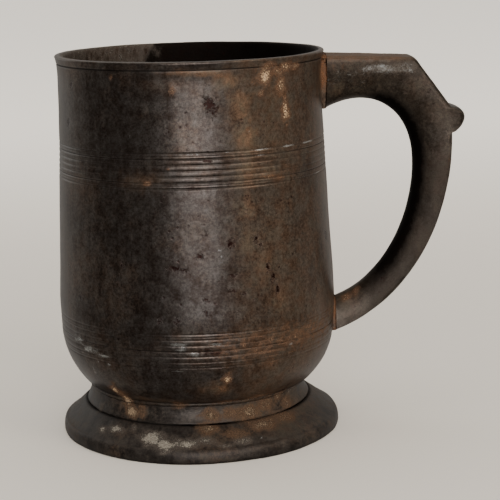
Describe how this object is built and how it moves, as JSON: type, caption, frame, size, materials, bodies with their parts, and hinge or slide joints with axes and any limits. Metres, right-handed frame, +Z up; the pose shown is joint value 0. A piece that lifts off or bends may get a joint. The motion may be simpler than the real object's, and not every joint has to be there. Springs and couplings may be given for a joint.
{
  "type": "pewter tankard",
  "caption": "Open drinking tankard with a reeded tapering drum, a collared spreading foot and a hollow cast handle with a thumb nub.",
  "frame": {"origin": "on the tankard's axis, in the plane that the foot stands on", "axes": "+Z up along the drum, +X towards the handle, +Y across the handle"},
  "size_m": [0.1351, 0.092, 0.125],
  "materials": {
    "body_pewter": "dark oxidised pewter, satin, with brown patina and pits",
    "inside_pewter": "dull mottled grey pewter",
    "foot_pewter": "dark oxidised pewter with pale crust",
    "handle_pewter": "dark pewter, worn bright along the top",
    "solder": "dull grey solder",
    "rusty_solder": "rust-brown stained solder"
  },
  "bodies": {
    "root": {"drum": "body_pewter", "bowl": "body_pewter", "drum_seam_solder": "solder", "base_plate": "inside_pewter", "base_plate_solder": "solder", "foot_collar": "foot_pewter", "collar_solder": "solder", "foot_flange": "foot_pewter", "foot_solder": "solder", "handle": "handle_pewter", "upper_handle_solder": "rusty_solder", "lower_handle_solder": "rusty_solder"}
  },
  "joints": []
}
